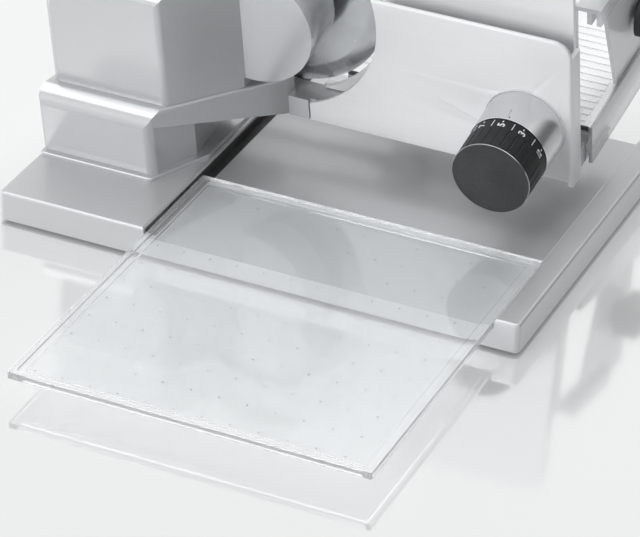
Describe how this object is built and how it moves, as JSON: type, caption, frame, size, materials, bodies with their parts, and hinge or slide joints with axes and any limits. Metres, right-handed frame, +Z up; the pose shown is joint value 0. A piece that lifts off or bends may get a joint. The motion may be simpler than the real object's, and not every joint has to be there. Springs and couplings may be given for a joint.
{
  "type": "food slicer",
  "caption": "Electric food slicer: a leaning unit with drive column, round blade, fence and thickness knob over a flat base with a channel, a clear serving tray and a sliding ribbed carriage.",
  "frame": {"origin": "centre of the front left rubber foot's underside, on the table", "axes": "+X to the right along the base's front edge, +Y away from the side where the tray comes out, +Z up"},
  "size_m": [0.41, 0.5351, 0.2368],
  "materials": {
    "silver_casting": "glossy silver lacquer",
    "light_wall": "smooth bright satin",
    "satin_collar": "satin turned",
    "black_knob": "fine matte",
    "bright_trim": "polished",
    "black_plastic": "matte",
    "rubber_foot": "matte",
    "clear_tray": "clear",
    "white_table": "smooth white",
    "clear_holder": "clear grey",
    "blade_steel": "ground",
    "plain_steel": "plain",
    "gear_plastic": "natural white",
    "cast_bracket": "cast",
    "board_green": "board green",
    "button_white": "smooth",
    "button_grey": "smooth"
  },
  "bodies": {
    "frame": {"base_body": "silver_casting", "base_cover": "black_plastic", "base_screws": "plain_steel", "front_left_foot": "rubber_foot", "front_right_foot": "rubber_foot", "rear_left_foot": "rubber_foot", "rear_right_foot": "rubber_foot", "cord_inlet": "black_plastic", "channel_guide_strip": "black_plastic", "housing_plinth": "silver_casting", "drive_foot": "silver_casting", "control_board": "board_green", "bridge_beam": "silver_casting", "beam_screws": "plain_steel", "beam_end_cap": "silver_casting", "fence_carrier": "light_wall", "carrier_screws": "plain_steel", "knob_collar": "satin_collar", "motor_cover": "silver_casting", "gear_plate": "silver_casting", "gear_case": "silver_casting", "plate_screws": "plain_steel", "front_bearing": "plain_steel", "rear_bearing": "plain_steel", "blade_guard": "black_plastic", "guard_screws": "plain_steel", "motor_can": "plain_steel", "switch_bezel": "bright_trim", "switch_block": "black_plastic", "left_bracket": "cast_bracket", "right_bracket": "cast_bracket", "bracket_screws": "plain_steel", "front_rod": "plain_steel", "rear_rod": "plain_steel"},
    "blade": {"round_blade": "blade_steel", "blade_screws": "plain_steel", "blade_shaft": "plain_steel", "blade_gear": "gear_plastic"},
    "rotor": {"motor_rotor": "plain_steel", "drive_pinion": "plain_steel"},
    "knob": {"thickness_knob": "black_knob", "knob_trim_ring": "bright_trim", "knob_cap": "black_knob", "knob_spindle": "plain_steel"},
    "fence": {"fence_plate": "light_wall", "fence_sleeve": "satin_collar", "fence_screws": "plain_steel", "fence_shoe": "black_plastic"},
    "carriage": {"carriage_frame": "silver_casting", "rod_bushes": "gear_plastic", "carriage_table": "white_table", "push_wall": "light_wall", "carriage_grip": "black_plastic"},
    "holder": {"food_holder": "clear_holder", "spike_plate": "blade_steel", "holder_handle": "black_plastic"},
    "tray": {"serving_tray": "clear_tray"},
    "on_button": {"on_button": "button_white"},
    "off_button": {"off_button": "button_grey"}
  },
  "joints": [
    {"name": "blade_spin", "type": "hinge", "parent": "frame", "child": "blade", "pos_m": [0.127, 0.15435, 0.14397], "axis": [0, 0.9863, 0.165], "continuous": true},
    {"name": "motor_spin", "type": "hinge", "parent": "frame", "child": "rotor", "pos_m": [0.07075, 0.11489, 0.13737], "axis": [0, 0.9863, 0.165], "continuous": true},
    {"name": "knob_turn", "type": "hinge", "parent": "frame", "child": "knob", "pos_m": [0.3314, 0.10431, 0.07943], "axis": [0, 0.9863, 0.165], "range_deg": [-77.5, 154.5]},
    {"name": "fence_slide", "type": "slide", "parent": "frame", "child": "fence", "axis": [0, -0.9863, -0.165], "range_m": [-0.005, 0.01]},
    {"name": "carriage_slide", "type": "slide", "parent": "frame", "child": "carriage", "axis": [1, 0, 0], "range_m": [-0.19, 0]},
    {"name": "holder_slide", "type": "slide", "parent": "carriage", "child": "holder", "axis": [0, 0.9863, 0.165], "range_m": [0, 0.045]},
    {"name": "tray_slide", "type": "slide", "parent": "frame", "child": "tray", "axis": [0, 1, 0], "range_m": [0, 0.2]},
    {"name": "on_press", "type": "slide", "parent": "frame", "child": "on_button", "axis": [0, 0.165, -0.9863], "range_m": [0, 0.0025], "stiffness_N_per_m": 400, "springref_m": -0.002},
    {"name": "off_press", "type": "slide", "parent": "frame", "child": "off_button", "axis": [0, 0.165, -0.9863], "range_m": [0, 0.0025], "stiffness_N_per_m": 400, "springref_m": -0.002}
  ],
  "couplings": [
    {"joint": "motor_spin", "follows": "blade_spin", "ratio": -4},
    {"joint": "knob_turn", "follows": "fence_slide", "rad_per_m": 268.78}
  ]
}
